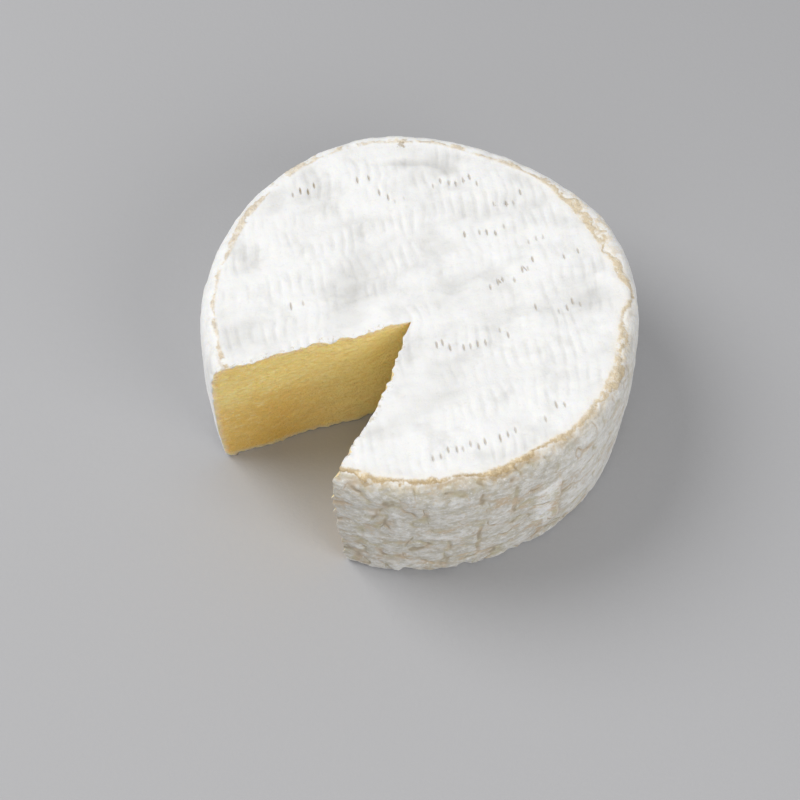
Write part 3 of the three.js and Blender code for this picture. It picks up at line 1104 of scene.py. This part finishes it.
def stitch_rows():
    """The rows of marks as loose lines, for the relief's nodes to walk along."""
    places = [(x, y, 0.0) for x0, y0, x1, y1 in STITCH_ROWS for x, y in ((x0, y0), (x1, y1))]
    mesh = bpy.data.meshes.new("stitch_rows")
    mesh.from_pydata(places, [(2 * k, 2 * k + 1) for k in range(len(STITCH_ROWS))], [])
    return in_scene("stitch_rows", mesh)


def filled(bottom, outer, top, inner):
    """A grid of places between four edges: bottom and top run outward, inner and outer run upward."""
    u = np.linspace(0.0, 1.0, len(bottom))[None, :, None]
    v = np.linspace(0.0, 1.0, len(outer))[:, None, None]
    between = (1 - v) * bottom[None] + v * top[None] + (1 - u) * inner[:, None] + u * outer[:, None]
    corners = (
        (1 - u) * (1 - v) * bottom[0] + u * (1 - v) * bottom[-1] + (1 - u) * v * top[0] + u * v * top[-1]
    )
    return between - corners


class CutFaces:
    """The two cuts, filled with paste between the rind's edges and the line where they meet."""

    def __init__(self, skin, smooth_places, places):
        self.smooth = list(smooth_places)
        self.places = list(places)
        self.numbers = []
        under, over = skin.rings[0][0], skin.rings[-1][0]
        up = np.linspace(0.0, 1.0, SIDE_ROWS + 1)[1:-1, None]
        spine = np.concatenate([
            [under],
            self.add(
                smooth_places[under] + up * (smooth_places[over] - smooth_places[under]),
                places[under] + up * (places[over] - places[under]),
            ),
            [over],
        ])
        for side in (0, -1):
            edge = np.array([ring[side] for ring in skin.rings])
            self.numbers.append(self.fill(edge, spine))

    def add(self, smooth_places, places):
        numbers = np.arange(len(self.places), len(self.places) + len(places))
        self.smooth.extend(smooth_places)
        self.places.extend(places)
        return numbers

    def fill(self, edge, spine):
        """One cut face as a grid of point numbers; edge runs from the spine's foot out, up the rind and back.

        The face follows the smooth edge, and only its outermost few millimetres go with the edge's relief.
        """
        foot, rim = RINGS, RINGS + SIDE_ROWS
        bottom, outer, top = edge[: foot + 1], edge[foot : rim + 1], edge[rim:][::-1]
        at = np.array(self.smooth)
        moved = np.array(self.places) - at
        grid = filled(at[bottom], at[outer], at[top], at[spine])
        pulls = (
            (moved[top][None], np.linalg.norm(grid - grid[-1:], axis=2)),
            (moved[bottom][None], np.linalg.norm(grid - grid[:1], axis=2)),
            (moved[outer][:, None], np.linalg.norm(grid - grid[:, -1:], axis=2)),
            (moved[spine][:, None], np.linalg.norm(grid - grid[:, :1], axis=2)),
        )
        weights = [np.exp(-((away / EDGE_PULL) ** 2))[..., None] for _, away in pulls]
        total = sum(weight * move for weight, (move, _) in zip(weights, pulls))
        face = grid + total / np.maximum(sum(weights), 1.0)
        inside = (slice(1, -1), slice(1, -1))
        numbers = np.empty(grid.shape[:2], int)
        numbers[0], numbers[-1], numbers[:, 0], numbers[:, -1] = bottom, top, spine, outer
        added = self.add(grid[inside].reshape(-1, 3), face[inside].reshape(-1, 3))
        numbers[inside] = added.reshape(SIDE_ROWS - 1, RINGS - 1)
        return numbers


def grid_faces(numbers, flipped):
    a, b = numbers[:-1, :-1].ravel(), numbers[:-1, 1:].ravel()
    c, d = numbers[1:, 1:].ravel(), numbers[1:, :-1].ravel()
    faces = np.stack([a, b, c, d], axis=1)
    return faces[:, ::-1] if flipped else faces


def distance_to(points, line):
    """How far each point is from the nearest point of a close-set line."""
    found = np.full(len(points), np.inf)
    for start in range(0, len(line), 40):
        gap = np.linalg.norm(points[:, None] - line[None, start : start + 40], axis=2)
        found = np.minimum(found, gap.min(axis=1))
    return found


def cut_attributes(cuts, skin, places):
    """For each point of the cut faces: the way out, its place on the cut, and how deep in the paste it is."""
    count = len(places)
    out, grain = np.zeros((count, 3)), np.zeros((count, 3))
    depth = np.zeros(count)
    point = np.append(skin.point, 0.0)
    for numbers, side, cut, sign in (
        (cuts.numbers[0], 0, skin.shape.right_cut, 1.0),
        (cuts.numbers[1], -1, skin.shape.left_cut, -1.0),
    ):
        flat = numbers.ravel()
        edge = np.array([ring[side] for ring in skin.rings])
        way = np.array([math.sin(cut), -math.cos(cut), 0.0]) * sign
        along = (places[flat] - point) @ np.array([math.cos(cut), math.sin(cut), 0.0])
        out[flat] = way
        grain[flat] = np.column_stack([along * sign, (places[flat] - point) @ way, places[flat][:, 2]])
        depth[flat] = distance_to(places[flat], places[edge[1:-1]])
    return {"out": out, "grain": grain, "depth": depth}


def mark_sharp(mesh):
    """Keeps the edge crisp where the two cuts meet."""
    edit = bmesh.new()
    edit.from_mesh(mesh)
    for edge in edit.edges:
        one, other = edge.link_faces
        both_paste = one.material_index == other.material_index == 1
        edge.smooth = not (both_paste and edge.calc_face_angle() > SHARPEST)
    edit.to_mesh(mesh)
    edit.free()


def rind_mesh(skin, shift, relief, look):
    """The skin as an open sheet with its relief raised."""
    points = {"rest": skin.places, "rim": skin.rim, "out": skin.out, "fray": skin.fray}
    sheet = plain_mesh("rind_sheet", (skin.places - shift) * MM, skin.faces, points)
    rows = stitch_rows()
    mesh = relieved("rind_relief", sheet, raise_rind, in_millimetres(relief) | {"Stitch rows": rows}, look)
    bpy.data.objects.remove(rows)
    return mesh


def paste_mesh(skin, shift, rind, drag, look):
    """The two cut faces with their drag marks, on the raised rind's points; their faces; their attributes."""
    places = read(rind, "position", 3).astype(float) / MM
    places[:, 2] = np.maximum(places[:, 2], 0.0)
    cuts = CutFaces(skin, skin.places - shift, places)
    places = np.array(cuts.places)
    faces = np.concatenate([grid_faces(cuts.numbers[0], False), grid_faces(cuts.numbers[1], True)])
    points = cut_attributes(cuts, skin, places + shift)
    sheet = plain_mesh("paste_sheet", places * MM, faces, points)
    return relieved("paste_relief", sheet, raise_paste, in_millimetres(drag), look), faces, points


def make_wheel(settings):
    rind_look = rind_material(settings.relief, settings.rind)
    paste_look = paste_material(settings.paste)
    skin = Skin(settings.shape)
    middle = (skin.places.min(axis=0) + skin.places.max(axis=0)) / 2
    shift = np.array([middle[0], middle[1], 0.0])
    rind = rind_mesh(skin, shift, settings.relief, rind_look)
    paste, paste_faces, points = paste_mesh(skin, shift, rind, settings.drag, paste_look)

    places = read(paste, "position", 3).astype(float)
    extra = len(places) - len(skin.places)
    blank = np.zeros(extra)
    attributes = {
        "rest": np.concatenate([skin.places, np.zeros((extra, 3))]),
        "rim": np.concatenate([skin.rim, blank]),
        "mark": np.concatenate([read(rind, "mark", 3), np.zeros((extra, 3))]),
        "gap": np.concatenate([read(rind, "gap", 1), blank + NO_MARK]),
        "torn": np.concatenate([np.linalg.norm(skin.fray, axis=1), blank]),
        "grain": points["grain"],
        "depth": points["depth"],
    }
    mesh = plain_mesh(WHEEL, places, skin.faces + list(paste_faces), attributes)
    mesh.materials.append(rind_look)
    mesh.materials.append(paste_look)
    in_paste = np.arange(len(mesh.polygons)) >= len(skin.faces)
    mesh.polygons.foreach_set("material_index", in_paste.astype(np.int32))
    mesh.polygons.foreach_set("use_smooth", np.ones(len(mesh.polygons), bool))
    mark_sharp(mesh)
    mesh.validate()
    piece = in_scene("cut_cheese_wheel", mesh)
    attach(piece, "root")
    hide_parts(WHEEL)


# ---- Stage ----


def area_light(name, place, size, power):
    lamp = bpy.data.lights.new(name, "AREA")
    lamp.shape, lamp.size, lamp.energy = "DISK", size, power
    light = in_scene(name, lamp)
    light.location = place
    light.rotation_mode = "QUATERNION"
    light.rotation_quaternion = (Vector(LIT_PLACE) - Vector(place)).to_track_quat("-Z", "Y")


def set_stage(studio):
    corners = np.array([(-1, -1, 0), (1, -1, 0), (1, 1, 0), (-1, 1, 0)]) * FLOOR_HALF - (0.0, 0.0, FLOOR_DROP)
    floor = in_scene("floor", plain_mesh("floor", corners, [(0, 1, 2, 3)]))
    floor.data.materials.append(floor_material(studio))

    world = bpy.data.worlds.new("soft_room")
    world.use_nodes = True
    sky = world.node_tree.nodes["Background"].inputs
    sky["Color"].default_value, sky["Strength"].default_value = (1.0, 1.0, 1.0, 1.0), studio.sky
    scene = bpy.context.scene
    scene.world = world
    scene.view_settings.view_transform = "Standard"

    for name, power_key, place, size in LIGHTS:
        area_light(name, place, size, getattr(studio, power_key))

    camera = in_scene("camera", bpy.data.cameras.new("camera"))
    camera.data.lens = studio.lens
    camera.data.sensor_width = 36.0
    back = Vector((0.0, -math.cos(studio.elevation), math.sin(studio.elevation)))
    camera.location = Vector(studio.aim) + back * studio.distance
    camera.rotation_euler = (math.pi / 2 - studio.elevation, 0.0, 0.0)
    camera.data.clip_start, camera.data.clip_end = 0.01, 100.0
    scene.camera = camera


# ---- Operators, panel and registration ----


class CheeseSettings(bpy.types.PropertyGroup):
    """Everything that can be changed about the wheel and its stage."""

    shape: PointerProperty(type=WheelShape)
    relief: PointerProperty(type=RindRelief)
    rind: PointerProperty(type=RindColours)
    paste: PointerProperty(type=PasteColours)
    drag: PointerProperty(type=PasteRelief)
    studio: PointerProperty(type=Studio)


class CHEESE_OT_make_wheel(bpy.types.Operator):
    """Make the cut wheel: rind, cut faces and their finishes"""

    bl_idname = "cheese.make_wheel"
    bl_label = "Make the cut wheel"

    def execute(self, context):
        make_wheel(context.scene.cheese_wheel)
        return {"FINISHED"}


class CHEESE_OT_set_stage(bpy.types.Operator):
    """Put the floor, the lights and the camera in place"""

    bl_idname = "cheese.set_stage"
    bl_label = "Set the stage"

    def execute(self, context):
        set_stage(context.scene.cheese_wheel.studio)
        return {"FINISHED"}


OPERATORS = (CHEESE_OT_make_wheel, CHEESE_OT_set_stage)


class CHEESE_PT_wheel(bpy.types.Panel):
    """The wheel's operators and settings"""

    bl_idname = "CHEESE_PT_wheel"
    bl_label = "Cheese wheel"
    bl_space_type = "VIEW_3D"
    bl_region_type = "UI"
    bl_category = "Cheese"

    def draw(self, context):
        for operator in OPERATORS:
            self.layout.operator(operator.bl_idname)
        settings = context.scene.cheese_wheel
        for name in settings.__annotations__:
            group, box = getattr(settings, name), self.layout.box()
            for key in group.__annotations__:
                box.prop(group, key)


GROUPS = (WheelShape, RindRelief, PasteRelief, RindColours, PasteColours, Studio)
CLASSES = (*GROUPS, CheeseSettings, *OPERATORS, CHEESE_PT_wheel)


def register():
    for each in CLASSES:
        bpy.utils.register_class(each)
    bpy.types.Scene.cheese_wheel = PointerProperty(type=CheeseSettings)


def unregister():
    del bpy.types.Scene.cheese_wheel
    for each in reversed(CLASSES):
        bpy.utils.unregister_class(each)


def main():
    register()
    bpy.ops.cheese.make_wheel()
    bpy.ops.cheese.set_stage()


if __name__ == "__main__":
    main()
